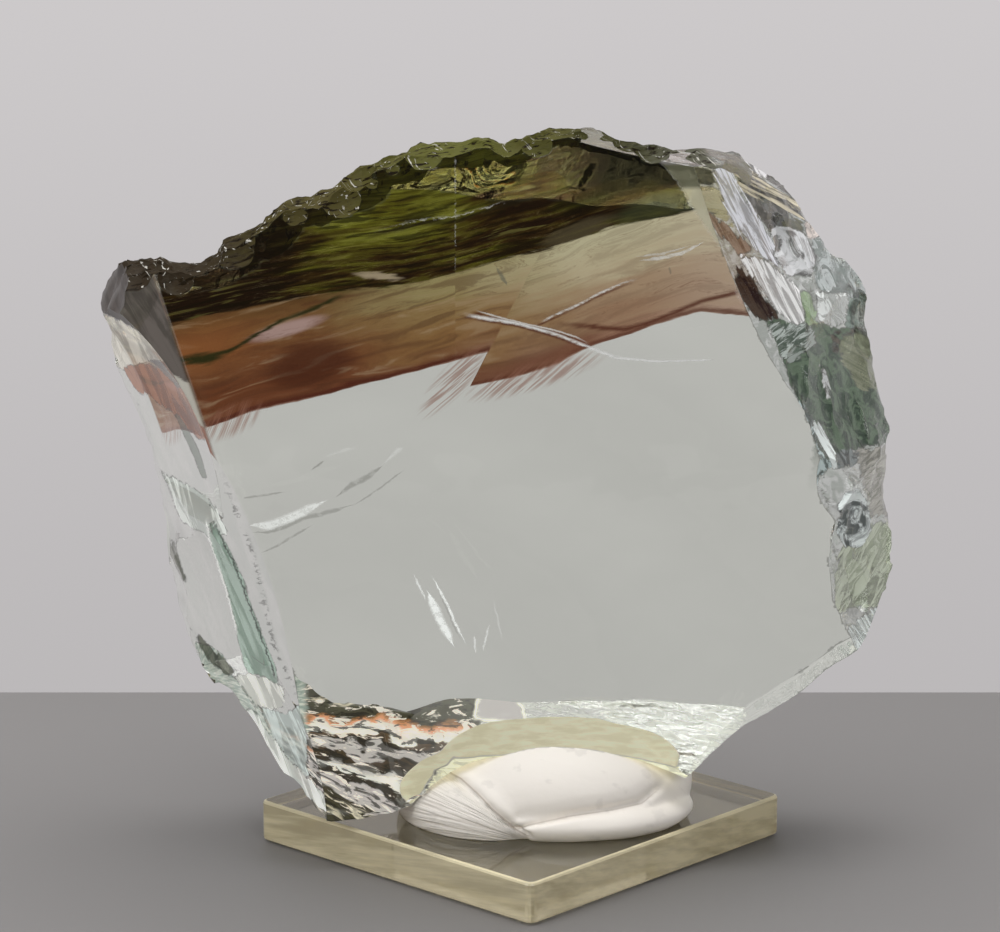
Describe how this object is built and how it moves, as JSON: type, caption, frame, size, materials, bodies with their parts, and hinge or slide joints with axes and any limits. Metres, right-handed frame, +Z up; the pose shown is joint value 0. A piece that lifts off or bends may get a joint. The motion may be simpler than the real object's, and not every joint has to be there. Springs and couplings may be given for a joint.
{
  "type": "andara crystal on a display base",
  "caption": "Broken chunk of clear pale-green glass with an olive and brown banded top, held upright by a pad of white tack on a square clear acrylic base.",
  "frame": {"origin": "centre of the acrylic plate's underside", "axes": "+X along the crystal's broad face to its right, +Y from the broad front face to the back, +Z up"},
  "size_m": [0.0958, 0.0628, 0.0881],
  "materials": {
    "banded_glass": "polished-looking fresh fracture, clear pale green with olive, brown and amber bands along the top",
    "mineral_tack": "smooth kneaded putty, satin",
    "clear_acrylic": "polished clear acrylic, straw yellow along its edges"
  },
  "bodies": {
    "root": {"crystal": "banded_glass", "putty_pad": "mineral_tack", "base_plate": "clear_acrylic"}
  },
  "joints": []
}
